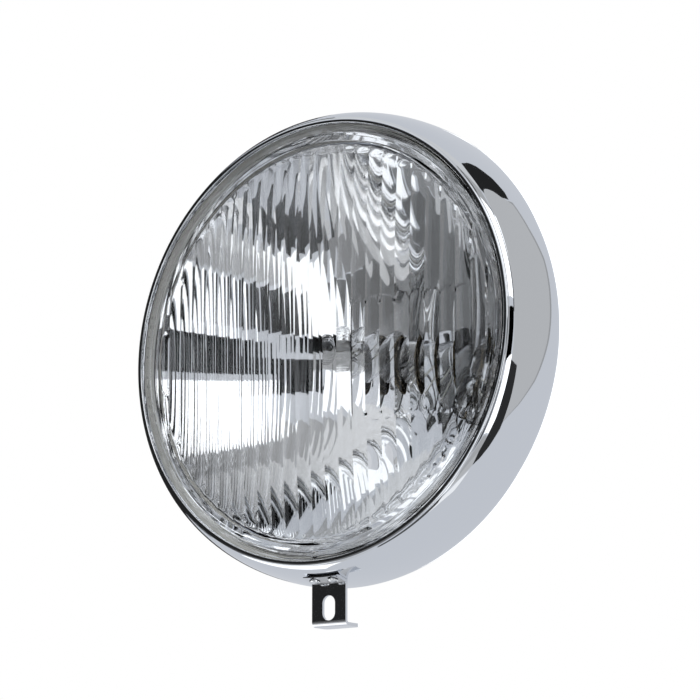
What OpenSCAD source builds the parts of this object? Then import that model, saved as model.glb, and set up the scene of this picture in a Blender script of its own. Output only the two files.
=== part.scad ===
// Round motorcycle headlight: a deep chrome rim with its slotted bracket, a fluted glass lens,
// a parabolic reflector held by wire clips, and a twin-filament bulb in its bayonet holder.
// The lamp's axis is Y. It shines towards -Y, and Y = 0 is the plane of the rim's rear edge.

/* [Rim] */
// Diameter of the glass opening inside the front bead
opening_d = 162.3; // [156:0.1:170]
// How far the widest point of the rim stands outside the opening, on the radius
rim_rise = 7.75; // [7:0.25:10]
// Depth from the front bead to the widest point of the rim
belly_depth = 23; // [19:0.5:27]
// Radius of the inward curl behind the widest point
curl_r = 10; // [8:0.5:14]
// Angle through which the curl turns inward
curl_angle = 44.4; // [30:0.1:55]
// Sheet thickness of the rim
rim_t = 0.8; // [0.6:0.05:1]
// Radius of the bead rolled round the glass opening
bead_r = 1; // [0.8:0.05:1.2]
// Depth of the crease where the bead meets the flank
crease_depth = 0.75; // [0.5:0.05:1]
// Depth from the front of the bead to the back of its lip
lip_depth = 2; // [1.6:0.1:2.6]

/* [Lens] */
// How far the glass reaches behind the lip, on the radius
lens_overlap = 1.85; // [1.2:0.05:2.5]
// Thickness of the glass at its seat behind the lip
lens_edge_t = 4; // [3:0.25:5]
// Thickness of the glass in the fluted field, over the flute crests
lens_t = 4; // [3.2:0.1:5]
// Width of the plain border between the fluted field and the glass opening
border_w = 6.85; // [5:0.05:9]
// Rise of the front dome over the field
dome_rise = 3.8; // [2:0.1:6]
// How far the edge of the dome stands in front of the lip's rear face
field_step = 1.7; // [1.2:0.1:2.4]
// Width of one flute
flute_w = 6.15; // [4:0.05:10]
// Depth of one flute from crest to valley
flute_h = 0.7; // [0.4:0.05:1.2]
// Distance of the flute boundary next to the middle from the middle, to the side
flute_shift = -1.15; // [-3:0.05:3]
// Slope of the wall that scallops the edge of the field, as depth per unit of radius
edge_slope = 0.6; // [0.4:0.05:1]

/* [Seal] */
// Thickness of the sealing ring between glass and reflector
seal_t = 1; // [0.6:0.1:1.6]
// Thickness of the seal between the glass edge and the reflector's wall
seal_side_t = 0.5; // [0.3:0.05:0.9]
// How far the sealing ring's flat part stays back from the reflector's mouth
seal_inset = 0.9; // [0.4:0.1:1.6]

/* [Reflector] */
// Focal length of the paraboloid
focal_l = 31; // [28:0.5:34]
// Width of the reflector's flat flange under the seal
flange_w = 5; // [4:0.1:7]
// Sheet thickness of the reflector
reflector_t = 0.8; // [0.6:0.05:1]
// How far the reflector's wall reaches forward round the glass edge
wall_grip = 1.5; // [1:0.1:2.5]
// Length of the neck that the bulb sits in
neck_l = 5; // [4.5:0.1:7]
// Depth of the three notches in the neck's rear edge
notch_depth = 1.6; // [1.2:0.1:2]
// Radius of the pilot lamp hole
pilot_r = 5.75; // [5:0.05:7]
// Distance of the pilot lamp hole below the axis
pilot_drop = 37; // [32:0.5:42]
// How far the pilot hole's collar stands behind the reflector at its axis
pilot_collar = 7; // [5:0.5:9]

/* [Clips] */
// Number of wire clips that press the reflector into the rim
clip_count = 4; // [3:1:6]
// Radius of the clip wire
wire_r = 0.9; // [0.7:0.05:1.1]
// Half the length of the bridge that hooks under the rim's curl
bridge_half = 6; // [4:0.5:8]
// Half the spread of the clip's two feet
foot_half = 13; // [11:0.5:16]
// Length of each foot along the reflector's flange
foot_l = 3.6; // [2.5:0.1:4]

/* [Bulb] */
// Radius of the bulb's brass cap
cap_r = 10; // [9:0.1:10.5]
// Length of the cap in front of its pins
cap_front = 8; // [6:0.5:9]
// Length of the cap behind its pins
cap_back = 8.5; // [7:0.5:10]
// Sheet thickness of the cap
cap_t = 0.4; // [0.3:0.05:0.6]
// Radius of the cap's three bayonet pins
pin_r = 1; // [0.8:0.05:1.1]
// Outside radius of the bulb's glass tube
glass_r = 8.5; // [7:0.1:9.2]
// Wall thickness of the bulb's glass
glass_t = 0.9; // [0.6:0.05:1.2]
// Length of the glass tube in front of the driving filament
glass_nose = 10; // [8:0.5:12]
// Distance between the two filaments
filament_gap = 5; // [4:0.25:7]
// Length of one filament coil
filament_l = 5; // [4:0.25:6]
// Outside radius of a filament coil
filament_r = 0.7; // [0.5:0.05:0.9]
// Thickness of the insulator at the bulb's base
insulator_t = 1.5; // [1:0.1:2.5]
// Thickness of the bulb's two contact pads
pad_t = 0.8; // [0.5:0.1:1.2]
// Distance between the bulb's two contact pads
pad_pitch = 8; // [7:0.25:9]

/* [Holder] */
// Sheet thickness of the holder's sleeve
sleeve_t = 0.8; // [0.6:0.05:1]
// Length of the sleeve
sleeve_l = 24; // [22:0.5:30]
// Radius of the opening in the sleeve's rear end
sleeve_mouth_r = 8.2; // [7.4:0.1:9]
// Radius of the neck's three locking pips
pip_r = 0.9; // [0.7:0.05:1.1]
// Thickness of the insulating disc
disc_t = 2.6; // [2:0.1:4]
// Thickness of the contact rivets' heads
head_t = 0.6; // [0.4:0.05:1]
// Radius of the holder spring's wire
spring_wire_r = 0.5; // [0.4:0.05:0.7]
// Number of turns of the holder spring
spring_turns = 2.5; // [2:0.25:4]
// Width of the blade terminals
blade_w = 6.3; // [4.8:0.1:6.3]
// Thickness of the blade terminals
blade_t = 0.8; // [0.6:0.1:1]
// Length of the contact blades behind the insulating disc
blade_l = 14; // [12:0.5:18]

/* [Bracket] */
// Width of the slotted bracket
bracket_w = 14.8; // [12:0.1:20]
// Sheet thickness of the bracket
bracket_t = 1.2; // [1:0.1:2]
// Depth of the bracket plate's front face behind the bead
plate_depth = 10; // [8.5:0.25:14]
// Length of the flange that lies under the rim in front of the plate
flange_l = 5.6; // [5:0.1:6.5]
// Height of the plate, from the rim to the underside of its lip
plate_h = 16.4; // [15:0.2:24]
// Length of the bottom lip behind the plate's front face
bottom_lip = 9; // [6:0.5:14]
// Radius of the bend at the bottom lip, on the sheet's middle
bend_r = 1.4; // [1:0.1:2.5]
// Width of the slot
slot_w = 5.5; // [4.3:0.1:6.5]
// Length of the slot from end to end
slot_l = 9; // [7:0.1:10]
// Distance from the middle of the slot to the underside of the lip
slot_up = 6.6; // [6:0.1:8]
// Distance between the two rivets
rivet_pitch = 7.8; // [7:0.1:9]
// Radius of the rivet shanks
rivet_r = 1.2; // [1:0.05:1.4]
// Radius of the rivet heads
rivet_head_r = 2; // [1.7:0.05:2.2]
// Height of the rivet heads
rivet_head_h = 0.9; // [0.7:0.05:1.2]

/* [Hidden] */

// Facets of a full turn, and steps of a curve in a profile
turn_fn = 144;
small_fn = 48;
curve_steps = 16;
// Clearance that a sliding or seated round piece keeps on its radius
slip = 0.3;
// Clearance between sheets that are riveted or pressed together
press_gap = 0.05;
// How far a cutting shape runs past what it cuts
over = 1;

// Rim profile, as radius and depth behind the bead
opening_r = opening_d / 2;
rim_r = opening_r + rim_rise;
flank_r0 = opening_r + 0.3;
flank_a = rim_r - flank_r0;
crease_r = opening_r + bead_r + sqrt(pow(bead_r, 2) - pow(bead_r - crease_depth, 2));
flank_b = (belly_depth - crease_depth) / sqrt(1 - pow((crease_r - flank_r0) / flank_a, 2));
rim_depth = belly_depth + curl_r * sin(curl_angle);
curl_c = rim_r - curl_r;
inner_curl_r = curl_r - rim_t;
inner_curl_angle = asin((rim_depth - belly_depth) / inner_curl_r);
lip_root = opening_r + 1.5 * bead_r;

// Planes along the axis, from the front to the back
bead_y = -rim_depth;
seat_y = bead_y + lip_depth;
lens_back_y = seat_y + lens_edge_t;
flange_y = lens_back_y + seal_t;
flange_back_y = flange_y + reflector_t;
wall_r = opening_r + lens_overlap + seal_side_t;
mouth_r = wall_r - flange_w;
vertex_y = flange_y + pow(mouth_r, 2) / (4 * focal_l);
focus_y = vertex_y - focal_l;

// Lens
lens_r = opening_r + lens_overlap;
field_r = opening_r - border_w;
edge_bevel = 0.6;
field_y = seat_y - field_step;
dome_r = (pow(field_r, 2) + pow(dome_rise, 2)) / (2 * dome_rise);
dome_c = field_y - dome_rise + dome_r;
flute_side = ceil(field_r / flute_w) + 1;
flute_r = (pow(flute_w / 2, 2) + pow(flute_h, 2)) / (2 * flute_h);
field_turn = asin(field_r / (dome_r - lens_t)) + 0.5;

// Reflector
unit_r = wall_r + reflector_t;
neck_r = cap_r + slip;
neck_out_r = neck_r + reflector_t;
neck_y = bowl_y(neck_out_r) + reflector_t;
neck_back_y = neck_y + neck_l;
pilot_out_r = pilot_r + reflector_t;
pilot_back_y = bowl_y(pilot_drop) + reflector_t + pilot_collar;

// Bulb, placed by its pins in the notches of the neck
pin_y = neck_back_y - notch_depth + pin_r + press_gap;
pin_reach = neck_out_r;
cap_mouth_r = cap_r - 1.4;
cap_fold = 0.6;
cap_y0 = pin_y - cap_front;
cap_y1 = pin_y + cap_back;
driving_y = focus_y;
dipped_y = driving_y - filament_gap;
dipped_z = 2;
glass_y0 = driving_y - glass_nose;
glass_y1 = cap_y0 + cap_front / 2;
stem_y1 = cap_y1 - insulator_t;
stem_y0 = cap_y0 - 3;
pad_y = cap_y1 + pad_t;
pad_r = 2;
support_r = 0.3;

// Holder
sleeve_r = neck_out_r + slip;
sleeve_out_r = sleeve_r + sleeve_t;
sleeve_gap = 1.2;
sleeve_y0 = bowl_y(sleeve_out_r) + reflector_t + sleeve_gap;
sleeve_y1 = sleeve_y0 + sleeve_l;
pip_y = sleeve_y0 + 2.6;
disc_r = sleeve_r - slip;
disc_y0 = pad_y + head_t;
disc_y1 = disc_y0 + disc_t;
contact_shank_r = 1.1;
contact_head_r = 2.2;
spring_r = disc_r - 1.4;
spring_y0 = disc_y1 + spring_wire_r + press_gap;
spring_y1 = sleeve_y1 - sleeve_t - spring_wire_r - press_gap;

// Bracket
flange_depth = plate_depth - flange_l;
plate_y = bead_y + plate_depth;
plate_top = flank_r(plate_depth, 0);
lip_bottom = plate_top + plate_h;
slot_z = -(lip_bottom - slot_up);
rivet_depth = flange_depth + flange_l / 2;
rivet_line_r = flank_r(rivet_depth, 0);
rivet_slope = atan(flank_r(rivet_depth + 0.5, 0) - flank_r(rivet_depth - 0.5, 0));
rivet_turn = asin(rivet_pitch / 2 / rivet_line_r);

// Where the reflecting surface lies at a radius
function bowl_y(r) = vertex_y - pow(r, 2) / (4 * focal_l);
// A point of the reflector, moved back by t along the surface's normal
function bowl_point(r, t) =
    let (s = r / (2 * focal_l), n = sqrt(1 + pow(s, 2)))
    [r + t * s / n, bowl_y(r) + t / n];
// Radius of the rim's flank at a depth behind the bead, moved out by off
function flank_r(depth, off) =
    flank_r0 + (flank_a + off) * sqrt(1 - pow((belly_depth - depth) / (flank_b + off), 2));
// Points of the flank from one depth to another, denser towards the bead
function flank(from, to, off, steps) = [
    for (i = [0 : steps])
        let (k = 1 - pow(1 - i / steps, 2), depth = to + (from - to) * (1 - k))
        [flank_r(depth, off), bead_y + depth]
];
// Points of an arc about c, from angle a0 to a1
function arc(c, r, a0, a1, steps) = [
    for (i = [0 : steps])
        let (a = a0 + (a1 - a0) * i / steps)
        c + r * [cos(a), sin(a)]
];
// Points of the lens dome at a distance t behind its front, out to a radius
function dome(t, to, steps) = [
    for (i = [0 : steps])
        let (r = to * i / steps)
        [r, dome_c - sqrt(pow(dome_r - t, 2) - pow(r, 2))]
];
function unit(v) = v / norm(v);
// A path with its inner corners rounded by a short curve
function rounded(path, r) = [
    for (i = [0 : len(path) - 1])
        if (i == 0 || i == len(path) - 1)
            path[i]
        else
            let (p = path[i], a = p + r * unit(path[i - 1] - p), b = p + r * unit(path[i + 1] - p))
            for (k = [0 : 4])
                let (t = k / 4)
                pow(1 - t, 2) * a + 2 * t * (1 - t) * p + pow(t, 2) * b
];

// Turns a profile of radius and Y about the lamp's axis
module turned(fn = turn_fn) {
    rotate([-90, 0, 0])
        rotate_extrude($fn = fn)
            children();
}

// A cylinder along the lamp's axis from y0 to y1
module axial(r, y0, y1, fn = small_fn) {
    translate([0, y0, 0])
        rotate([-90, 0, 0])
            cylinder(r = r, h = y1 - y0, $fn = fn);
}

// A round wire swept along points, with its sides set by a reference direction
module wire(points, r, ref, sides = 8) {
    last = len(points) - 1;
    rings = [
        for (i = [0 : last])
            let (
                t = unit(points[min(i + 1, last)] - points[max(i - 1, 0)]),
                u = unit(cross(ref, t)),
                v = cross(t, u)
            )
            for (k = [0 : sides - 1])
                points[i] + r * (cos(360 * k / sides) * u + sin(360 * k / sides) * v)
    ];
    walls = [
        for (i = [0 : last - 1], k = [0 : sides - 1])
            let (a = i * sides + k, b = i * sides + (k + 1) % sides)
            [a, a + sides, b + sides, b]
    ];
    front = [for (k = [0 : sides - 1]) k];
    back = [for (k = [sides - 1 : -1 : 0]) last * sides + k];
    polyhedron(points = rings, faces = concat(walls, [front, back]), convexity = 4);
}

// The rim's wall in section: rear curl, flank, bead, lip and the inner face back again
function rim_profile() = concat(
    arc([curl_c, bead_y + belly_depth], curl_r, curl_angle, 0, curve_steps),
    flank(belly_depth, crease_depth, 0, curve_steps * 2),
    arc([opening_r + bead_r, bead_y + bead_r], bead_r, -15, -180, curve_steps),
    [[opening_r, seat_y], [lip_root, seat_y]],
    flank(lip_depth + rim_t, belly_depth, -rim_t, curve_steps),
    arc([curl_c, bead_y + belly_depth], inner_curl_r, 0, inner_curl_angle, curve_steps)
);

module rim() {
    color("silver")
        difference() {
            turned()
                polygon(rim_profile());
            rivet_holes();
        }
}

// Places its children on the two rivet lines, with Z along each shank and 0 on the rim's surface
module at_rivets() {
    for (side = [-1, 1])
        rotate([0, side * rivet_turn, 0])
            translate([0, bead_y + rivet_depth, -rivet_line_r])
                rotate([-rivet_slope, 0, 0])
                    children();
}

module rivet_holes() {
    at_rivets()
        cylinder(r = rivet_r + press_gap, h = 4 * (rim_t + bracket_t), center = true, $fn = small_fn);
}

module bracket_rivets() {
    // Points of a domed head, from its rim to its top
    dome_points = [for (i = [0 : 6]) [rivet_head_r * cos(15 * i), rivet_head_h * sin(15 * i)]];
    inside = rim_t + press_gap;
    outside = -bracket_t - 3 * press_gap;
    color("gainsboro")
        at_rivets()
            rotate_extrude($fn = small_fn)
                polygon(concat(
                    [[0, inside + rivet_head_h]],
                    [for (i = [5 : -1 : 0]) [dome_points[i][0], inside + dome_points[i][1]]],
                    [[rivet_r, inside], [rivet_r, outside]],
                    [for (i = [0 : 5]) [dome_points[i][0], outside - dome_points[i][1]]],
                    [[0, outside - rivet_head_h]]
                ));
}

// The bracket's plate and bottom lip in section, as Y and Z
function bracket_section() =
    let (
        y0 = plate_y,
        y1 = plate_y + bracket_t,
        c = [y0 + bracket_t / 2 + bend_r, -lip_bottom + bracket_t / 2 + bend_r],
        top = -(plate_top + bracket_t / 2)
    )
    concat(
        [[y0, top]],
        arc(c, bend_r + bracket_t / 2, 180, 270, 8),
        [[y0 + bottom_lip, -lip_bottom], [y0 + bottom_lip, -lip_bottom + bracket_t]],
        arc(c, bend_r - bracket_t / 2, 270, 180, 8),
        [[y1, top]]
    );

module bracket() {
    corner_r = 1.6;
    flange_end = plate_depth + bracket_t;
    color("gainsboro")
        difference() {
            union() {
                intersection() {
                    rotate([90, 0, 90])
                        linear_extrude(height = bracket_w, center = true)
                            polygon(bracket_section());
                    bracket_outline(corner_r);
                }
                intersection() {
                    turned()
                        polygon(concat(
                            flank(flange_depth, flange_end, press_gap, curve_steps),
                            flank(flange_end, flange_depth, press_gap + bracket_t, curve_steps)
                        ));
                    translate([-bracket_w / 2, bead_y, -lip_bottom])
                        cube([bracket_w, rim_depth, bracket_t + plate_h]);
                }
            }
            slot();
            rivet_holes();
        }
}

// The bracket seen from below, with the rear corners of its lip rounded
module bracket_outline(r) {
    end_y = plate_y + bottom_lip;
    half = bracket_w / 2;
    translate([0, 0, -lip_bottom - over])
        linear_extrude(height = plate_h + 2 * over)
            union() {
                translate([-half, plate_y - over])
                    square([bracket_w, bottom_lip + over - r]);
                translate([-half + r, plate_y])
                    square([bracket_w - 2 * r, bottom_lip]);
                for (side = [-1, 1])
                    translate([side * (half - r), end_y - r])
                        circle(r = r, $fn = small_fn);
            }
}

// The slot for a fixing screw, cut along the lamp's axis
module slot() {
    end = (slot_l - slot_w) / 2;
    translate([0, plate_y + bracket_t / 2, slot_z]) {
        for (side = [-1, 1])
            translate([0, 0, side * end])
                rotate([90, 0, 0])
                    cylinder(r = slot_w / 2, h = bracket_t + 2 * over, center = true, $fn = small_fn);
        cube([slot_w, bracket_t + 2 * over, 2 * end], center = true);
    }
}

// What is cut out behind the fluted face: each flute's crest is an arc that stands towards the back.
// The profile is turned about the dome's centre, so that the flutes follow the dome.
module flute_cutter() {
    from = flute_shift - flute_side * flute_w;
    to = flute_shift + flute_side * flute_w;
    shallow = dome_r - lens_t + flute_h + over;
    deep = dome_r - lens_t - 3 * lens_edge_t;
    translate([0, dome_c, 0])
        rotate([0, 90, 0])
            rotate([0, 0, -90 - field_turn])
                rotate_extrude(angle = 2 * field_turn, $fn = 360)
                    difference() {
                        polygon(concat(
                            [for (x = [from : flute_w : to]) [sqrt(pow(shallow, 2) - pow(x, 2)), x]],
                            [for (x = [to : -flute_w : from]) [sqrt(pow(deep, 2) - pow(x, 2)), x]]
                        ));
                        for (k = [-flute_side : flute_side - 1])
                            flute_arc(flute_shift + (k + 0.5) * flute_w);
                    }
}

// The round crest of the flute at x, as distance from the dome's centre and X
module flute_arc(x) {
    fall = dome_r - sqrt(pow(dome_r, 2) - pow(x, 2));
    translate([dome_r - lens_t - fall + flute_r, x])
        circle(r = flute_r, $fn = 96);
}

// The round space behind the field, with a sloping wall that scallops the flutes' ends
module field_space() {
    depth = lens_back_y - dome_c + dome_r + over;
    turned()
        polygon([
            [0, lens_back_y - depth],
            [field_r + 1 - depth / edge_slope, lens_back_y - depth],
            [field_r + 1, lens_back_y],
            [field_r + 1, lens_back_y + over],
            [0, lens_back_y + over]
        ]);
}

module lens() {
    border_r = opening_r - slip;
    // The plain border round the field: a low step, a flat band, and a slope down to the lip
    border = [
        [field_r + 0.5, field_y + 0.35],
        [field_r + 3.2, field_y + 0.6],
        [field_r + 3.6, field_y + 0.85],
        [border_r - 0.5, seat_y - 0.65],
        [border_r, seat_y - 0.3],
        [border_r, seat_y]
    ];
    profile = concat(
        dome(0, field_r, curve_steps),
        border,
        [
            [lens_r - edge_bevel, seat_y],
            [lens_r, seat_y + edge_bevel],
            [lens_r, lens_back_y],
            [0, lens_back_y]
        ]
    );
    color("lightcyan", 0.4)
        difference() {
            union() {
                turned()
                    polygon(profile);
                nib();
            }
            intersection() {
                flute_cutter();
                field_space();
            }
        }
}

// The small round nib at the bottom of the border that shows which way up the glass goes
module nib() {
    nib_r = 0.9;
    nib_line = (field_r + opening_r) / 2 + 1.3;
    translate([0, 0, -nib_line])
        axial(nib_r, field_y + 0.4, seat_y);
}

module lens_seal() {
    color("dimgray")
        turned()
            polygon([
                [wall_r, lens_back_y - wall_grip],
                [wall_r, flange_y],
                [mouth_r + seal_inset, flange_y],
                [mouth_r + seal_inset, lens_back_y],
                [lens_r, lens_back_y],
                [lens_r, lens_back_y - wall_grip]
            ]);
}

// The reflector's sheet in section: reflecting face, neck, back, and the wall round the glass
function reflector_profile() =
    let (steps = curve_steps * 2, lead = neck_r + 0.7)
    concat(
        [for (i = [0 : steps]) bowl_point(mouth_r + (lead - mouth_r) * i / steps, 0)],
        [[neck_r, bowl_y(lead) + 0.7], [neck_r, neck_back_y], [neck_out_r, neck_back_y]],
        [[neck_out_r, neck_y + 0.5]],
        [
            for (i = [0 : steps])
                bowl_point(neck_out_r + 0.6 + (mouth_r - neck_out_r - 1) * i / steps, reflector_t)
        ],
        [
            [mouth_r + 0.9, flange_back_y],
            [unit_r, flange_back_y],
            [unit_r, lens_back_y - wall_grip],
            [wall_r, lens_back_y - wall_grip],
            [wall_r, flange_y]
        ]
    );

module reflector() {
    color("lightgray")
        difference() {
            union() {
                turned()
                    polygon(reflector_profile());
                pilot_collar_tube();
                neck_pips();
            }
            translate([0, 0, -pilot_drop])
                axial(pilot_r, flange_y, pilot_back_y + over);
            neck_notches();
        }
}

// The drawn collar round the pilot lamp hole, trimmed inside the reflector's sheet
module pilot_collar_tube() {
    steps = curve_steps;
    difference() {
        translate([0, 0, -pilot_drop])
            axial(pilot_out_r, bowl_y(pilot_drop) - pilot_out_r, pilot_back_y);
        turned()
            polygon(concat(
                [[0, flange_y]],
                [for (i = [0 : steps]) bowl_point(mouth_r * (1 - i / steps), reflector_t / 2)]
            ));
    }
}

// The pips on the neck that the holder's sleeve locks over
module neck_pips() {
    for (k = [0 : 2])
        rotate([0, 30 + 120 * k, 0])
            translate([neck_r + reflector_t / 2, pip_y, 0])
                rotate([0, 90, 0])
                    cylinder(r = pip_r, h = sleeve_out_r - neck_r - reflector_t / 2, $fn = small_fn);
}

// The notches in the neck's rear edge that the bulb's pins drop into
module neck_notches() {
    wide = 2 * (pin_r + slip);
    for (k = [0 : 2])
        rotate([0, 90 + 120 * k, 0])
            translate([neck_r - over, neck_back_y - notch_depth, -wide / 2])
                cube([reflector_t + 2 * over, notch_depth + over, wide]);
}

// One clip: a bridge hooked under the rim's curl, two legs, and two feet on the flange
module clip() {
    bite = 20;
    bridge_depth = belly_depth + (inner_curl_r - wire_r - slip) * sin(bite);
    bridge_end = curl_c + (inner_curl_r - wire_r - slip) * cos(bite);
    bridge_r = sqrt(pow(bridge_end, 2) - pow(bridge_half, 2)) - 0.1;
    foot_y = flange_back_y + wire_r + press_gap;
    foot_r = unit_r - wire_r - 0.3;
    path = [
        [foot_r - foot_l, foot_y, -foot_half + 1.5],
        [foot_r, foot_y, -foot_half],
        [bridge_r, bead_y + bridge_depth, -bridge_half],
        [bridge_r, bead_y + bridge_depth, bridge_half],
        [foot_r, foot_y, foot_half],
        [foot_r - foot_l, foot_y, foot_half - 1.5]
    ];
    wire(rounded(path, 1.8), wire_r, [1, 0.4, 0]);
}

module retaining_clips() {
    color("darkgray")
        for (k = [0 : clip_count - 1])
            rotate([0, 360 * (k + 0.5) / clip_count, 0])
                clip();
}

module bulb_cap() {
    color("goldenrod")
        union() {
            turned()
                polygon([
                    [cap_r - cap_t, cap_y0],
                    [cap_r, cap_y0],
                    [cap_r, cap_y1 - cap_fold],
                    [cap_r - cap_fold, cap_y1],
                    [cap_mouth_r, cap_y1],
                    [cap_mouth_r, cap_y1 - cap_t],
                    [cap_r - cap_t, cap_y1 - cap_fold - cap_t]
                ]);
            for (k = [0 : 2])
                rotate([0, 90 + 120 * k, 0])
                    translate([cap_r - cap_t / 2, pin_y, 0])
                        rotate([0, 90, 0])
                            cylinder(r = pin_r, h = pin_reach - cap_r + cap_t / 2, $fn = small_fn);
        }
}

module bulb_insulator() {
    r = cap_mouth_r - press_gap;
    color("darkslategray")
        turned()
            polygon([[0, cap_y1 - insulator_t], [r, cap_y1 - insulator_t], [r, cap_y1], [0, cap_y1]]);
}

// Places its children on the two contact lines
module at_contacts() {
    for (side = [-1, 1])
        translate([side * pad_pitch / 2, 0, 0])
            children();
}

module bulb_contacts() {
    color("silver")
        at_contacts()
            axial(pad_r, cap_y1, pad_y);
}

// The clear tube, drawn in to a rounded nose, open at its root inside the cap
module bulb_glass() {
    inner_r = glass_r - glass_t;
    nose = glass_r * 0.75;
    nose_in = nose - glass_t;
    outer = [for (a = [0 : 7.5 : 90]) [glass_r * sin(a), glass_y0 + nose * (1 - cos(a))]];
    inner = [for (a = [90 : -7.5 : 0]) [inner_r * sin(a), glass_y0 + nose - nose_in * cos(a)]];
    color("azure", 0.35)
        turned(96)
            polygon(concat(
                outer,
                [[glass_r, glass_y1], [inner_r, glass_y1]],
                inner
            ));
}

// The pinched glass stem that carries the wires
module bulb_stem() {
    seat_r = glass_r - glass_t - slip;
    stem_r = 3.4;
    exhaust_r = 2;
    color("azure", 0.6)
        turned(96)
            polygon([
                [0, stem_y0],
                [stem_r - 0.4, stem_y0],
                [stem_r, stem_y0 + 0.5],
                [stem_r, glass_y1 - 4],
                [seat_r, glass_y1 - 1],
                [seat_r, glass_y1],
                [stem_r, glass_y1],
                [exhaust_r, stem_y1],
                [0, stem_y1]
            ]);
}

// Three nickel wires from the stem to the filaments' ends
module support_wires() {
    lead = filament_l / 2 + support_r;
    apart = 1.6;
    paths = [
        [[-lead, stem_y0 - 0.1, 0], [-lead, driving_y - 1.5, 0], [-lead, dipped_y, dipped_z]],
        [[0, stem_y0 - 0.1, -apart], [lead, driving_y + 6, -apart], [lead, driving_y, 0]],
        [[0, stem_y0 - 0.1, apart], [lead, driving_y - 1, dipped_z + 0.8], [lead, dipped_y, dipped_z]]
    ];
    color("dimgray")
        for (path = paths)
            wire(path, support_r, [0, 0.2, 1]);
}

// A filament coil across the lamp's axis
module filament(y, z) {
    translate([0, y, z])
        rotate([0, 90, 0])
            cylinder(r = filament_r, h = filament_l - 2 * support_r, center = true, $fn = small_fn);
}

module driving_filament() {
    color("gray")
        filament(driving_y, 0);
}

module dipped_filament() {
    color("gray")
        filament(dipped_y, dipped_z);
}

// The trough that hides the dipped filament from the lower half of the reflector
module dipping_shield() {
    shield_r = 3;
    shield_t = 0.25;
    color("dimgray")
        translate([0, dipped_y, dipped_z])
            rotate([0, 90, 0])
                rotate([0, 0, -90])
                    linear_extrude(height = filament_l - 2 * support_r, center = true)
                        polygon(concat(
                            arc([0, 0], shield_r, 0, 180, curve_steps),
                            arc([0, 0], shield_r - shield_t, 180, 0, curve_steps)
                        ));
}

module holder_sleeve() {
    color("silver")
        difference() {
            turned()
                polygon([
                    [sleeve_r, sleeve_y0],
                    [sleeve_out_r, sleeve_y0],
                    [sleeve_out_r, sleeve_y1],
                    [sleeve_mouth_r, sleeve_y1],
                    [sleeve_mouth_r, sleeve_y1 - sleeve_t],
                    [sleeve_r, sleeve_y1 - sleeve_t]
                ]);
            for (k = [0 : 2])
                rotate([0, 30 + 120 * k, 0])
                    sleeve_hook();
        }
}

// One bayonet slot: an entry from the front edge and a short run round the sleeve
module sleeve_hook() {
    half = pip_r + slip;
    r0 = sleeve_r - over;
    r1 = sleeve_out_r + over;
    // Degrees from the pip on to the entry, and back past the pip
    run = 24;
    past = 5.5;
    rotate([-90, 0, 0])
        rotate([0, 0, -past])
            rotate_extrude(angle = run + past, $fn = turn_fn)
                polygon([[r0, pip_y - half], [r1, pip_y - half], [r1, pip_y + half], [r0, pip_y + half]]);
    rotate([0, -run, 0])
        translate([r0, sleeve_y0 - over, -half])
            cube([sleeve_t + 2 * over, pip_y - sleeve_y0 + over + half, 2 * half]);
}

module holder_disc() {
    color("saddlebrown")
        difference() {
            axial(disc_r, disc_y0, disc_y1, turn_fn);
            at_contacts()
                axial(contact_shank_r + press_gap, disc_y0 - over, disc_y1 + over);
        }
}

module contact_rivets() {
    color("goldenrod")
        at_contacts()
            union() {
                axial(contact_head_r, pad_y, disc_y0);
                axial(contact_shank_r, disc_y0 - head_t / 2, disc_y1 + blade_t + head_t / 2);
                axial(contact_head_r - 0.4, disc_y1 + blade_t, disc_y1 + blade_t + head_t);
            }
}

module holder_spring() {
    steps = round(spring_turns * 24);
    helix = [
        for (i = [0 : steps])
            let (a = 360 * spring_turns * i / steps)
            [spring_r * cos(a), spring_y0 + (spring_y1 - spring_y0) * i / steps, spring_r * sin(a)]
    ];
    color("darkgray")
        wire(helix, spring_wire_r, [0, 1, 0]);
}

// An L-shaped tab: a foot across the axis and a blade along it, with a pointed tip
module blade(foot, long) {
    tip = 1.4;
    translate([0, 0, -blade_w / 2])
        cube([foot, blade_t, blade_w]);
    rotate([0, -90, 0])
        translate([0, 0, -blade_t])
            linear_extrude(height = blade_t)
                polygon([
                    [-blade_w / 2, 0],
                    [blade_w / 2, 0],
                    [blade_w / 2, long - tip],
                    [blade_w / 2 - tip, long],
                    [-blade_w / 2 + tip, long],
                    [-blade_w / 2, long - tip]
                ]);
}

module contact_blades() {
    foot_back = contact_head_r + blade_t;
    color("goldenrod")
        difference() {
            for (side = [-1, 1])
                translate([side * (pad_pitch / 2 - foot_back), disc_y1, 0])
                    mirror([side < 0 ? 1 : 0, 0, 0])
                        blade(foot_back + contact_head_r, blade_l);
            at_contacts()
                axial(contact_shank_r + press_gap, disc_y1 - over, disc_y1 + blade_t + over);
        }
}

module earth_blade() {
    foot = sleeve_out_r - sleeve_mouth_r - blade_t;
    color("goldenrod")
        translate([0, sleeve_y1, 0])
            rotate([0, -90, 0])
                translate([sleeve_out_r - foot, 0, 0])
                    blade(foot, 9);
}

rim();
bracket();
bracket_rivets();
lens();
lens_seal();
reflector();
retaining_clips();
bulb_cap();
bulb_insulator();
bulb_contacts();
bulb_glass();
bulb_stem();
support_wires();
driving_filament();
dipped_filament();
dipping_shield();
holder_sleeve();
holder_disc();
contact_rivets();
holder_spring();
contact_blades();
earth_blade();
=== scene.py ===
import math
import bmesh
import bpy
import numpy as np
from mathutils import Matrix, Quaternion, Vector


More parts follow.
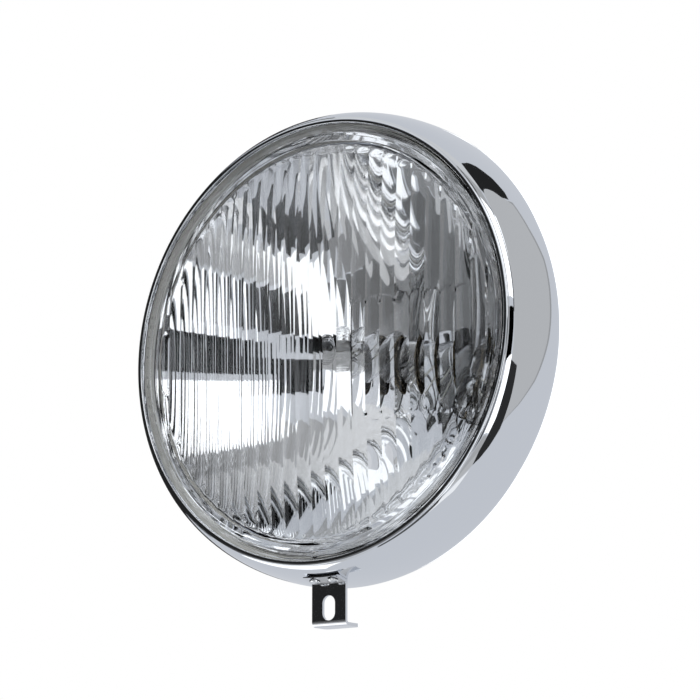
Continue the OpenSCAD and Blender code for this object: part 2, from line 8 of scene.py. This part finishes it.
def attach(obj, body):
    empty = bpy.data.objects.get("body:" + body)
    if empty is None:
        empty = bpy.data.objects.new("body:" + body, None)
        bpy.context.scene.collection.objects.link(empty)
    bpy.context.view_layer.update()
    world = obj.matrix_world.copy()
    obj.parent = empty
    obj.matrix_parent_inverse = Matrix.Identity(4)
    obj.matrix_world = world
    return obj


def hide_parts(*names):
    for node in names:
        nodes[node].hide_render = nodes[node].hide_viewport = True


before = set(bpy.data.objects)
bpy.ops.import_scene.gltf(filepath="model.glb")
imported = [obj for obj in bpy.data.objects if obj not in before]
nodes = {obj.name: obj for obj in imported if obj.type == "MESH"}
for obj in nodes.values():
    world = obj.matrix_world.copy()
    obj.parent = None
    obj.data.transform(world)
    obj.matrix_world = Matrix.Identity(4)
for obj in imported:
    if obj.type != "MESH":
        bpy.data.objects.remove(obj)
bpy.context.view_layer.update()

MM = 0.001

# Sizes in mm, as in the part. The lamp's axis is Y, and Y = 0 is the plane of the rim's rear edge.
# Rim
opening_r, rim_r, rim_t = 81.15, 88.9, 0.8
belly_depth, curl_r, curl_angle = 23.0, 10.0, 44.4
bead_r, crease_depth, lip_depth = 1.0, 0.75, 2.0
rim_depth = belly_depth + curl_r * math.sin(math.radians(curl_angle))
bead_y = -rim_depth
seat_y = bead_y + lip_depth
lip_root = opening_r + 1.5 * bead_r
flank_r0 = opening_r + 0.3
flank_a = rim_r - flank_r0
crease_r = opening_r + bead_r + math.sqrt(bead_r ** 2 - (bead_r - crease_depth) ** 2)
flank_b = (belly_depth - crease_depth) / math.sqrt(1 - ((crease_r - flank_r0) / flank_a) ** 2)
curl_c = rim_r - curl_r
inner_curl_r = curl_r - rim_t
inner_curl_angle = math.degrees(math.asin((rim_depth - belly_depth) / inner_curl_r))

# Lens
lens_r, lens_edge_t, lens_t = 83.0, 4.0, 4.0
lens_back_y = seat_y + lens_edge_t
field_r, dome_rise = 74.3, 3.8
field_y = seat_y - 1.7
dome_r = (field_r ** 2 + dome_rise ** 2) / (2 * dome_rise)
dome_c = field_y - dome_rise + dome_r

# Flutes. Their depth is the one that bends light as far as the photographed glass does.
flute_w, flute_h, flute_shift = 6.15, 0.30, -1.15
flute_r = ((flute_w / 2) ** 2 + flute_h ** 2) / (2 * flute_h)
# Radius at which the flutes end, and slope of the glass beyond their ends
flute_end_r, flute_end_slope = 73.0, 0.15
# The sunken block of flutes beside the middle: sides, top and bottom, how deep it lies, and its flutes' depth
block_x0, block_x1 = flute_shift + 3 * flute_w, flute_shift + 11 * flute_w
block_top, block_bottom = 12.0, -33.0
block_sink, block_flute_h = 0.30, 0.42
# Outer edge of the fluted face's mesh, and slope and rounding of the wall round the field
field_edge_r = 75.5
field_wall_slope, field_wall_blend = 0.9, 0.2
# The nib at the bottom of the border: height, half width, half height and distance below the axis
nib_h, nib_wide, nib_high, nib_drop = 0.55, 1.1, 0.8, 78.9

# Reflector
sheet_t = 0.8
flange_y = lens_back_y + 1.0
focal_l, mouth_r = 31.0, 78.5
vertex_y = flange_y + mouth_r ** 2 / (4 * focal_l)
wall_r = lens_r + 0.5
wall_grip = 1.5
unit_r = wall_r + sheet_t
neck_r, neck_l = 10.3, 5.0
neck_out_r = neck_r + sheet_t
neck_lead = 0.7
pilot_r, pilot_drop, pilot_collar_l = 5.75, 37.0, 7.0


def bowl_y(r):
    """Where the reflecting surface lies at a radius."""
    return vertex_y - r * r / (4 * focal_l)


def bowl_point(r, t):
    """A point of the reflector, moved back by t along the surface's normal."""
    s = r / (2 * focal_l)
    n = math.sqrt(1 + s * s)
    return (r + t * s / n, bowl_y(r) + t / n)


neck_y = bowl_y(neck_out_r) + sheet_t
neck_back_y = neck_y + neck_l
pilot_back_y = bowl_y(pilot_drop) + sheet_t + pilot_collar_l


# Meshes

def shade(mesh, sharp):
    """Smooth shading, with sharp edges where faces meet at more than an angle in degrees."""
    mesh.shade_smooth()
    mesh.set_sharp_from_angle(angle=math.radians(sharp))


def mesh_object(name, verts, faces, sharp):
    """An object from vertices in mm."""
    mesh = bpy.data.meshes.new(name)
    mesh.from_pydata([(x * MM, y * MM, z * MM) for x, y, z in verts], [], faces)
    bm = bmesh.new()
    bm.from_mesh(mesh)
    bmesh.ops.recalc_face_normals(bm, faces=bm.faces)
    bm.to_mesh(mesh)
    bm.free()
    shade(mesh, sharp)
    o = bpy.data.objects.new(name, mesh)
    bpy.context.scene.collection.objects.link(o)
    return o


def turns(n):
    """The angles of n even steps round the axis."""
    return [2 * math.pi * i / n for i in range(n)]


def add_ring(verts, r, y, angles):
    """Adds a ring of vertices about the axis, or a single one on it, and returns their numbers."""
    start = len(verts)
    if r < 1e-6:
        verts.append((0, y, 0))
        return [start] * len(angles)
    verts += [(r * math.cos(a), y, r * math.sin(a)) for a in angles]
    return list(range(start, len(verts)))


def strip(a, b, closed=True):
    """Faces between two rows of vertices. A face with a doubled vertex becomes a triangle."""
    faces = []
    for i in range(len(a) if closed else len(a) - 1):
        j = (i + 1) % len(a)
        corners = [a[i], a[j], b[j], b[i]]
        corners = [v for k, v in enumerate(corners) if v != corners[k - 1]]
        if len(corners) > 2:
            faces.append(corners)
    return faces


def lathe(profile, steps, closed=True):
    """Vertices and faces of a profile of (radius, y) turned about the lamp's axis."""
    verts, faces = [], []
    rows = [add_ring(verts, r, y, turns(steps)) for r, y in profile]
    pairs = list(zip(rows, rows[1:])) + ([(rows[-1], rows[0])] if closed else [])
    for a, b in pairs:
        faces += strip(a, b)
    return verts, faces


def arc(cx, cy, r, a0, a1, steps):
    """Points of an arc about a centre, from angle a0 to a1 in degrees."""
    points = []
    for i in range(steps + 1):
        a = math.radians(a0 + (a1 - a0) * i / steps)
        points.append((cx + r * math.cos(a), cy + r * math.sin(a)))
    return points


def flank(d0, d1, off, steps):
    """Points of the rim's flank from depth d0 to d1, moved out by off, denser towards d1."""
    points = []
    for i in range(steps + 1):
        k = 1 - (1 - i / steps) ** 2
        d = d1 + (d0 - d1) * (1 - k)
        fall = ((belly_depth - d) / (flank_b + off)) ** 2
        points.append((flank_r0 + (flank_a + off) * math.sqrt(max(0, 1 - fall)), bead_y + d))
    return points


def bead():
    """Points of the bead from the crease over its squarish crest and round into the opening."""
    lead_in, crease_over = 0.35, 0.03
    crest_r = opening_r + lead_in
    wide = crease_r + crease_over - crest_r
    outer_angles = (3.6, 6, 9, 13, 18, 24, 30, 36, 42, 48, 54, 60, 66, 72, 77, 81, 84, 86.5, 88.5)
    points = []
    for a in outer_angles:
        c, s = math.cos(math.radians(a)), math.sin(math.radians(a))
        points.append((crest_r + wide * math.sqrt(c), bead_y + bead_r * (1 - math.sqrt(s))))
    for a in range(0, 91, 10):
        c, s = math.cos(math.radians(a)), math.sin(math.radians(a))
        points.append((crest_r - lead_in * s, bead_y + bead_r * (1 - c)))
    return points


def make_rim():
    """The rim's shell, turned in one piece."""
    profile = arc(curl_c, bead_y + belly_depth, curl_r, curl_angle, 0, 16)
    profile += flank(belly_depth, crease_depth, 0, 56)
    profile += bead()
    profile += [(opening_r, seat_y), (lip_root, seat_y)]
    profile += flank(lip_depth + rim_t, belly_depth, -rim_t, 16)
    profile += arc(curl_c, bead_y + belly_depth, inner_curl_r, 0, inner_curl_angle, 8)
    return mesh_object("rim_shell", *lathe(profile, steps=288), sharp=40)


def reflector_profile():
    """The sheet in section: reflecting face, neck, back, and the wall round the glass."""
    front_steps, back_steps = 72, 32
    lead_r = neck_r + neck_lead
    back_r0 = neck_out_r + 0.6
    back_wide = mouth_r - neck_out_r - 1
    grip_y = lens_back_y - wall_grip
    points = [bowl_point(mouth_r + (lead_r - mouth_r) * i / front_steps, 0) for i in range(front_steps + 1)]
    points += [(neck_r, bowl_y(lead_r) + neck_lead), (neck_r, neck_back_y), (neck_out_r, neck_back_y)]
    points += [(neck_out_r, neck_y + 0.5)]
    points += [bowl_point(back_r0 + back_wide * i / back_steps, sheet_t) for i in range(back_steps + 1)]
    points += [(mouth_r + 0.9, flange_y + sheet_t), (unit_r, flange_y + sheet_t), (unit_r, grip_y)]
    points += [(wall_r, grip_y), (wall_r, flange_y)]
    return points


def make_reflector():
    """The bowl, with the pilot lamp hole cut through it."""
    sharp = 35
    shell = mesh_object("reflector_shell", *lathe(reflector_profile(), steps=240), sharp=sharp)
    plug = [(0, flange_y), (pilot_r, flange_y), (pilot_r, pilot_back_y), (0, pilot_back_y)]
    verts, faces = lathe(plug, steps=96, closed=False)
    cutter = mesh_object("cutter", [(x, y, z - pilot_drop) for x, y, z in verts], faces, sharp=sharp)
    hole = shell.modifiers.new("hole", "BOOLEAN")
    hole.operation, hole.object, hole.solver = "DIFFERENCE", cutter, "EXACT"
    shape = shell.evaluated_get(bpy.context.evaluated_depsgraph_get())
    cut = bpy.data.meshes.new_from_object(shape)
    shell.modifiers.clear()
    shell.data = cut
    bpy.data.objects.remove(cutter)
    shade(cut, sharp)
    return shell


def make_collar():
    """The tube behind the pilot lamp hole. Its front edge follows the bowl, inside the sheet."""
    n, inside = 96, 0.3
    out_r = pilot_r + sheet_t
    verts, faces, rows = [], [], []
    for r, at_back in ((pilot_r, False), (out_r, False), (out_r, True), (pilot_r, True)):
        rows.append(list(range(len(verts), len(verts) + n)))
        for a in turns(n):
            x, z = r * math.cos(a), r * math.sin(a) - pilot_drop
            verts.append((x, pilot_back_y if at_back else bowl_y(math.hypot(x, z)) + inside, z))
    for k, row in enumerate(rows):
        faces += strip(row, rows[(k + 1) % len(rows)])
    return mesh_object("pilot_collar", verts, faces, sharp=40)


def glass_back(x, z):
    """Rear face of the glass: flutes on the dome, the sunken block, and the wall round the field."""
    r = np.hypot(x, z)
    dome = dome_c - np.sqrt((dome_r - lens_t) ** 2 - r ** 2)
    half = flute_w / 2
    middle = flute_shift + (np.floor((x - flute_shift) / flute_w) + 0.5) * flute_w
    across = x - middle
    # A flute is a round crest that ends in a half circle, where a shallow slope takes over
    reach = np.sqrt(np.maximum(flute_end_r ** 2 - middle ** 2, 0)) - half
    away = np.hypot(across, np.maximum(np.abs(z) - reach, 0))
    near = np.minimum(away, half)
    y = dome - (flute_r - np.sqrt(flute_r ** 2 - near ** 2)) + flute_end_slope * (away - near)
    k = across / half
    round_end = half * (1 - np.sqrt(np.maximum(1 - k ** 2, 0)))
    in_block = (x > block_x0) & (x < block_x1) & (z < block_top - round_end) & (z > block_bottom + round_end)
    y = np.where(in_block, dome - block_sink - block_flute_h * k ** 2, y)
    wall = lens_back_y - field_wall_slope * (field_r + 1 - r)
    y = (y + wall + np.sqrt((y - wall) ** 2 + field_wall_blend ** 2)) / 2
    return np.minimum(y, lens_back_y)


def lens_columns():
    """X of the fluted face's columns of vertices: ten to a flute, and closer ones at both ends."""
    per_flute, clear = 10, 0.9
    k0 = math.floor((-field_edge_r - flute_shift) / flute_w)
    k1 = math.ceil((field_edge_r - flute_shift) / flute_w)
    xs = [flute_shift + flute_w * (k + i / per_flute) for k in range(k0, k1) for i in range(per_flute)]
    ends = [field_edge_r * math.cos(math.radians(a)) for a in (0, 2, 4, 6, 8)]
    return sorted([-e for e in ends] + [x for x in xs if abs(x) < field_edge_r - clear] + ends)


def add_fluted_face(verts, faces):
    """Adds the rear face as columns of vertices, and returns its outline's vertices in order."""
    rows = 210
    spread = [math.sin(math.pi / 2 * (2 * j / rows - 1)) for j in range(rows + 1)]
    grid = []
    for x in lens_columns():
        reach = math.sqrt(max(0, field_edge_r ** 2 - x * x))
        start = len(verts)
        if reach < 1e-3:
            verts.append((x, float(glass_back(np.float64(x), np.float64(0))), 0.0))
            grid.append([start] * (rows + 1))
            continue
        z = np.array([reach * s for s in spread])
        y = glass_back(np.full_like(z, x), z)
        verts += [(x, float(b), float(c)) for b, c in zip(y, z)]
        grid.append(list(range(start, len(verts))))
    for a, b in zip(grid, grid[1:]):
        faces += strip(a, b, closed=False)
    inner = grid[1:-1]
    return [grid[0][0]] + [g[-1] for g in inner] + [grid[-1][0]] + [g[0] for g in reversed(inner)]


def lens_profile():
    """The glass in section, from the fluted face's edge round the rim's seat and over the front."""
    border_r = opening_r - 0.35
    points = [
        (field_edge_r + 0.7, lens_back_y),
        (lens_r, lens_back_y),
        (lens_r, seat_y + 0.65),
        (lens_r - 0.6, seat_y + 0.05),
        (border_r, seat_y + 0.02),
        (border_r, seat_y - 0.3),
        (border_r - 0.5, seat_y - 0.65),
    ]
    # Fine rings on the slope of the border, each two steps wide
    r0, r1 = border_r - 1.0, field_r + 3.9
    y0, y1 = seat_y - 0.68, field_y + 0.85
    steps, rise = 13, 0.10
    for i in range(steps + 1):
        t = i / steps
        raised = rise if i % 4 in (1, 2) else 0
        points.append((r0 + (r1 - r0) * t, y0 + (y1 - y0) * t - raised))
    points += [
        (field_r + 3.6, field_y + 0.85),
        (field_r + 3.2, field_y + 0.55),
        (field_r + 2.4, field_y + 0.5),
        (field_r + 2.2, field_y + 0.4),
        (field_r + 1.2, field_y + 0.38),
        (field_r + 0.5, field_y + 0.35),
    ]
    dome_steps = 16
    for i in range(dome_steps + 1):
        r = field_r * math.sin(math.pi / 2 * (1 - i / dome_steps))
        points.append((r, dome_c - math.sqrt(dome_r ** 2 - r * r)))
    return points


def nib(x, y, z):
    """How far the nib raises a point of the glass. Only the front of the border rises."""
    if y >= seat_y - 0.5 or math.hypot(x, z) <= field_r + 3:
        return 0
    return nib_h * math.exp(-((x / nib_wide) ** 2 + ((z + nib_drop) / nib_high) ** 2))


def make_lens():
    """The glass: the fluted face, and rings from its outline round the edge to the middle of the front."""
    verts, faces = [], []
    row = add_fluted_face(verts, faces)
    angles = [math.atan2(verts[v][2], verts[v][0]) for v in row]
    for r, y in lens_profile():
        ring = add_ring(verts, r, y, angles)
        faces += strip(row, ring)
        row = ring
    raised = [(x, y - nib(x, y, z), z) for x, y, z in verts]
    return mesh_object("lens_glass", raised, faces, sharp=15)


# Materials. The looks of the pieces are kept by name.
looks = {}


def new_material(name):
    """A material with nothing but its output node."""
    material = bpy.data.materials.new(name)
    material.use_nodes = True
    tree = material.node_tree
    tree.nodes.clear()
    return material, tree, tree.nodes.new("ShaderNodeOutputMaterial")


def add_noise(tree, scale, detail):
    """Noise in the object's own coordinates, which are metres."""
    place = tree.nodes.new("ShaderNodeTexCoord")
    noise = tree.nodes.new("ShaderNodeTexNoise")
    noise.inputs["Scale"].default_value = scale
    noise.inputs["Detail"].default_value = detail
    tree.links.new(place.outputs["Object"], noise.inputs["Vector"])
    return noise


def add_bump(tree, noise, shader, strength):
    """A bump of up to 0.2 mm, weakened by its strength."""
    bump = tree.nodes.new("ShaderNodeBump")
    bump.inputs["Strength"].default_value = strength
    bump.inputs["Distance"].default_value = 0.2 * MM
    tree.links.new(noise.outputs["Fac"], bump.inputs["Height"])
    tree.links.new(bump.outputs["Normal"], shader.inputs["Normal"])


def surface(name, color, rough, scale, vary, metallic=1.0, bump=0.0):
    """A metal or another opaque material, with slightly uneven roughness, and a fine bump if asked."""
    material, tree, out = new_material(name)
    shader = tree.nodes.new("ShaderNodeBsdfPrincipled")
    shader.inputs["Base Color"].default_value = (*color, 1)
    shader.inputs["Metallic"].default_value = metallic
    noise = add_noise(tree, scale, 3)
    spread = tree.nodes.new("ShaderNodeMapRange")
    spread.inputs["From Min"].default_value, spread.inputs["From Max"].default_value = 0.3, 0.7
    spread.inputs["To Min"].default_value = max(rough - vary, 0)
    spread.inputs["To Max"].default_value = rough + vary
    tree.links.new(noise.outputs["Fac"], spread.inputs["Value"])
    tree.links.new(spread.outputs["Result"], shader.inputs["Roughness"])
    if bump:
        add_bump(tree, noise, shader, bump)
    tree.links.new(shader.outputs["BSDF"], out.inputs["Surface"])
    looks[name] = material


def glass(name, color, ior=1.52, rough=0.0):
    """Clear, faintly wavy glass that lets lamp light through to what stands behind it."""
    wave_scale, wave_bump, shadow_clear = 60, 0.03, 0.95
    material, tree, out = new_material(name)
    shader = tree.nodes.new("ShaderNodeBsdfPrincipled")
    shader.inputs["Base Color"].default_value = (*color, 1)
    shader.inputs["Roughness"].default_value = rough
    shader.inputs["IOR"].default_value = ior
    shader.inputs["Transmission Weight"].default_value = 1
    add_bump(tree, add_noise(tree, wave_scale, 2), shader, wave_bump)
    clear = tree.nodes.new("ShaderNodeBsdfTransparent")
    clear.inputs["Color"].default_value = (*[math.sqrt(c) * shadow_clear for c in color], 1)
    path = tree.nodes.new("ShaderNodeLightPath")
    mix = tree.nodes.new("ShaderNodeMixShader")
    tree.links.new(path.outputs["Is Shadow Ray"], mix.inputs[0])
    tree.links.new(shader.outputs["BSDF"], mix.inputs[1])
    tree.links.new(clear.outputs["BSDF"], mix.inputs[2])
    tree.links.new(mix.outputs["Shader"], out.inputs["Surface"])
    looks[name] = material


def glow(name, value):
    """The even light of a card, or its darkness, with the studio's slightly cool tint."""
    material, tree, out = new_material(name)
    shader = tree.nodes.new("ShaderNodeEmission")
    shader.inputs["Color"].default_value = (0.985, 0.995, 1.01, 1)
    shader.inputs["Strength"].default_value = value
    tree.links.new(shader.outputs["Emission"], out.inputs["Surface"])
    return material


def matte(name, color):
    """An even color without shine."""
    material, tree, out = new_material(name)
    shader = tree.nodes.new("ShaderNodeBsdfDiffuse")
    shader.inputs["Color"].default_value = (*color, 1)
    tree.links.new(shader.outputs["BSDF"], out.inputs["Surface"])
    return material


# A surface's numbers after its color: roughness, scale of the unevenness, and how far roughness varies
surface("chrome", (0.785, 0.805, 0.835), 0.03, 90, 0.01)
surface("bracket_chrome", (0.78, 0.79, 0.81), 0.10, 500, 0.04, bump=0.03)
surface("rivet_chrome", (0.78, 0.79, 0.80), 0.12, 600, 0.04)
glass("lens_glass", (0.982, 0.986, 0.99))
surface("seal_rubber", (0.84, 0.84, 0.80), 0.6, 300, 0.08, metallic=0, bump=0.2)
surface("reflector_mirror", (0.895, 0.907, 0.922), 0.035, 60, 0.015)
surface("spring_steel", (0.50, 0.50, 0.50), 0.30, 900, 0.08)
surface("brass", (0.78, 0.58, 0.28), 0.22, 500, 0.08)
# The bulb cap's brass is darkened almost to black: painted shade for the dark it sits in deep inside the bowl
surface("painted_shade_cap_brass", (0.09, 0.075, 0.05), 0.25, 500, 0.08)
surface("black_insulator", (0.03, 0.03, 0.035), 0.25, 300, 0.05, metallic=0)
surface("solder", (0.62, 0.62, 0.62), 0.35, 900, 0.10, bump=0.3)
glass("bulb_glass", (0.985, 0.99, 0.99), 1.5)
glass("stem_glass", (0.95, 0.97, 0.97), 1.5, 0.05)
surface("nickel_wire", (0.55, 0.54, 0.50), 0.30, 900, 0.08)
surface("tungsten", (0.30, 0.30, 0.31), 0.45, 4000, 0.10, bump=0.6)
surface("shield_metal", (0.42, 0.42, 0.42), 0.35, 900, 0.08)
surface("zinc_steel", (0.62, 0.62, 0.60), 0.28, 200, 0.08)
surface("brown_laminate", (0.22, 0.11, 0.055), 0.55, 250, 0.10, metallic=0, bump=0.15)


def dress(o, slot, look=None):
    """Gives an object the look named after its slot, or another look instead."""
    o.data.materials.clear()
    o.data.materials.append(looks[look or slot])


cad_slots = {
    "bracket": "bracket_chrome",
    "bracket_rivets": "rivet_chrome",
    "lens_seal": "seal_rubber",
    "retaining_clips": "spring_steel",
    "bulb_insulator": "black_insulator",
    "bulb_contacts": "solder",
    "bulb_glass": "bulb_glass",
    "bulb_stem": "stem_glass",
    "support_wires": "nickel_wire",
    "driving_filament": "tungsten",
    "dipped_filament": "tungsten",
    "dipping_shield": "shield_metal",
    "holder_sleeve": "zinc_steel",
    "holder_disc": "brown_laminate",
    "contact_rivets": "brass",
    "holder_spring": "spring_steel",
    "contact_blades": "brass",
    "earth_blade": "brass",
}
for name, slot in cad_slots.items():
    dress(nodes[name], slot)
# The bulb cap gets the darkened brass, which is painted shade
dress(nodes["bulb_cap"], "brass", "painted_shade_cap_brass")

rim = make_rim()
dress(rim, "chrome")
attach(rim, "root")
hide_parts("rim")
lens = make_lens()
dress(lens, "lens_glass")
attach(lens, "root")
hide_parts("lens")
shell = make_reflector()
dress(shell, "reflector_mirror")
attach(shell, "root")
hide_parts("reflector")
collar = make_collar()
dress(collar, "reflector_mirror")
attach(collar, "root")


# Studio, in metres. Directions are azimuths from the front, positive to +X, and elevations, in degrees.

def direction(az, el):
    """A direction seen from the lamp, as a unit vector."""
    a, e = math.radians(az), math.radians(el)
    return Vector((math.sin(a) * math.cos(e), -math.cos(a) * math.cos(e), math.sin(e)))


def flat(name, corners, material):
    """A flat piece of the studio."""
    mesh = bpy.data.meshes.new(name)
    mesh.from_pydata(corners, [], [list(range(len(corners)))])
    mesh.materials.append(material)
    o = bpy.data.objects.new(name, mesh)
    bpy.context.scene.collection.objects.link(o)
    return o


def card(name, corners, value):
    """A card that shows only in reflections and through the glass."""
    o = flat(name, corners, glow(name, value))
    o.visible_camera = False
    o.visible_shadow = False
    o.visible_diffuse = False


def side(name, az, el, wide, high, value, far, roll=0.0):
    """A rectangular card at a direction from the lamp, with its width and height in degrees."""
    at = far * direction(az, el)
    w, h = far * math.tan(math.radians(wide / 2)), far * math.tan(math.radians(high / 2))
    turn = (-at).to_track_quat("Z", "Y") @ Quaternion((0, 0, 1), math.radians(roll))
    card(name, [at + turn @ Vector((x, y, 0)) for x, y in ((-w, -h), (w, -h), (w, h), (-w, h))], value)


def region(name, points, value, far, middle=None):
    """A card whose outline, seen from the lamp, passes through directions. It faces the middle one."""
    dirs = [direction(*p) for p in points]
    mid = direction(*middle) if middle else sum(dirs, Vector()).normalized()
    card(name, [d * (far / d.dot(mid)) for d in dirs], value)


# The cards stand where the photographed chrome, mirror and glass show light and dark.
# A card covers the ones that are farther away.
side("top_left_box", -34, 51, 44, 30, 0.78, far=3.0)
side("top_right", 30, 68, 40, 30, 0.7, far=3.1)
side("right_box", 56, 35, 35, 35, 2.0, far=2.9)
side("front_low_box", 12, -26, 22, 41, 1.45, far=2.9)
side("front_mid_box", 3, 24, 17, 27, 1.5, far=2.9, roll=-14)
side("floor_left_box", -76, -46, 24, 30, 1.5, far=2.9)
side("floor_left_fade", -50, -42, 30, 34, 0.62, far=3.0)
side("back_left_box", -166, 9, 26, 40, 1.6, far=3.2)
side("camera_upper", 26, 15, 17, 20, 0.0, far=2.6)
side("camera_right", 56, 5, 30, 18, 0.0, far=2.55)
side("camera_left", 16, -4, 20, 9, 0.0, far=2.5, roll=-8)
side("camera_lower", 33, -20, 19, 22, 0.05, far=2.5)
side("front_left_low", -27, -22, 42, 34, 0.18, far=2.95)
side("front_under", 4, -56, 28, 14, 0.08, far=2.8, roll=-8)
region("left_dark", [
    (-106, 60), (-112, 46), (-132, 42), (-142, 30), (-142, 0), (-128, -8), (-108, -10), (-96, -20),
    (-80, -22), (-66, -32), (-52, -36), (-46, -34), (-47, -6), (-20, -4), (-20, 24), (-42, 26),
    (-56, 30), (-66, 38), (-70, 64), (-88, 66),
], 0.02, far=2.85)
region("top_dark", [
    (-106, 60), (-98, 70), (-80, 79), (-40, 79), (-14, 72), (-4, 62), (-34, 66), (-70, 62), (-88, 62),
], 0.72, far=2.8)
region("right_low_box", [
    (50, -4), (76, -4), (76, -20), (78, -29), (73, -35), (62, -33), (50, -31), (50, -20),
], 1.9, far=2.9)
region("black_curve", [
    (76, -6), (98, -8), (102, -20), (105, -32), (100, -40), (91, -46), (78, -49), (70, -42), (78, -29),
    (76, -20),
], 0.03, far=2.4)
region("black_foot", [
    (78, -49), (54, -52), (30, -48), (27, -44), (40, -43), (50, -43), (62, -43), (70, -42),
], 0.55, far=2.42)
region("low_right", [(24, -53), (54, -53), (78, -51), (76, -61), (50, -63), (26, -62)], 1.05, far=2.95)
region("low_gap", [
    (24, -33), (50, -32), (62, -34), (73, -36), (70, -42), (62, -43), (27, -44),
], 0.45, far=2.6)
region("top_right_dim", [
    (-4, 41), (30, 41), (33, 50), (74, 50), (74, 61), (30, 62), (-4, 62),
], 0.45, far=3.05)
region("front_gap", [(-8, -1), (18, -1), (18, 11), (-6, 12)], 0.4, far=2.7)
region("front_floor", [(-40, -38), (-8, -38), (-6, -49), (-40, -52)], 0.3, far=2.75)
region("dark_edge", [(72, 54), (76, 53), (76, 30), (74, 12), (70, 12), (72, 30)], 0.06, far=2.45)
# The grey field on the rim's flank, with a darker line along its rear edge. Both lie in parallel planes.
grey_middle = (118, 20)
grey_edge = [(156, 43), (152, 36), (151, 28), (144, 18), (138, 6), (130, -8), (120, -19), (105, -29)]
region("grey_side", grey_edge + [
    (90, -26), (80, -12), (74, 10), (74, 30), (78, 52), (90, 63), (105, 66), (122, 64), (135, 57.5),
    (146, 50),
], 0.55, far=3.3, middle=grey_middle)
line_w, narrowing = 2.5, 0.25
line_edge = [(az + line_w - narrowing * i, el) for i, (az, el) in enumerate(grey_edge)]
region("grey_line", line_edge + [
    (104, -32), (90, -28), (90, 30), (140, 50),
], 0.38, far=3.4, middle=grey_middle)
region("black_patch", [
    (84, 70), (80, 62), (90, 60), (104, 61), (116, 60), (128, 57.5), (138, 54), (146, 49), (155, 45),
    (160, 46), (164, 50), (162, 57), (156, 62), (148, 66), (138, 69), (124, 72), (104, 74),
], 0.02, far=2.45)

floor_z, half = -0.26, 6
floor_corners = [(x * half, y * half, floor_z) for x, y in ((-1, -1), (1, -1), (1, 1), (-1, 1))]
floor = flat("floor", floor_corners, matte("floor", (0.86, 0.86, 0.86)))
floor.visible_glossy = False
floor.visible_transmission = False


def softlight(name, at, size, power):
    """A square lamp, in metres and watts, that faces the object and stays out of its reflections."""
    light = bpy.data.lights.new(name, "AREA")
    light.shape, light.size, light.energy = "SQUARE", size, power
    o = bpy.data.objects.new(name, light)
    bpy.context.scene.collection.objects.link(o)
    o.location = at
    o.rotation_euler = (-Vector(at)).to_track_quat("-Z", "Y").to_euler()
    o.visible_glossy = False
    o.visible_transmission = False


softlight("key", (-0.9, -1.2, 1.5), 1.2, 12)
softlight("fill", (1.4, -1.0, 0.5), 1.2, 6)


def make_world():
    """White behind the object, and a pale cool grey in its reflections."""
    world = bpy.data.worlds.new("studio")
    bpy.context.scene.world = world
    world.use_nodes = True
    tree = world.node_tree
    tree.nodes.clear()
    out = tree.nodes.new("ShaderNodeOutputWorld")
    mix = tree.nodes.new("ShaderNodeMixShader")
    path = tree.nodes.new("ShaderNodeLightPath")
    tree.links.new(path.outputs["Is Camera Ray"], mix.inputs[0])
    for i, color in enumerate([(0.642, 0.663, 0.705), (1, 1, 1)]):
        sky = tree.nodes.new("ShaderNodeBackground")
        sky.inputs["Color"].default_value = (*color, 1)
        sky.inputs["Strength"].default_value = 1
        tree.links.new(sky.outputs["Background"], mix.inputs[i + 1])
    tree.links.new(mix.outputs["Shader"], out.inputs["Surface"])


def make_camera():
    """The photo's camera: its distance and direction from the middle of the bead, and its shift in metres."""
    distance, shift_right, shift_up = 0.9, 0.013386, -0.004158
    back = direction(34.97, -12.52)
    right = back.cross(Vector((0, 0, -1))).normalized()
    up = back.cross(right)
    data = bpy.data.cameras.new("camera")
    # In mm, as fitted to the outlines of the bead and the rim
    data.sensor_width, data.lens = 36, 126.9
    data.clip_start = 0.01
    camera = bpy.data.objects.new("camera", data)
    bpy.context.scene.collection.objects.link(camera)
    bead_middle = Vector((0, bead_y * MM, 0))
    camera.location = bead_middle + distance * back + shift_right * right + shift_up * up
    camera.rotation_euler = (-back).to_track_quat("-Z", "Y").to_euler()
    bpy.context.scene.camera = camera


make_world()
make_camera()
bpy.context.scene.view_settings.view_transform = "Standard"
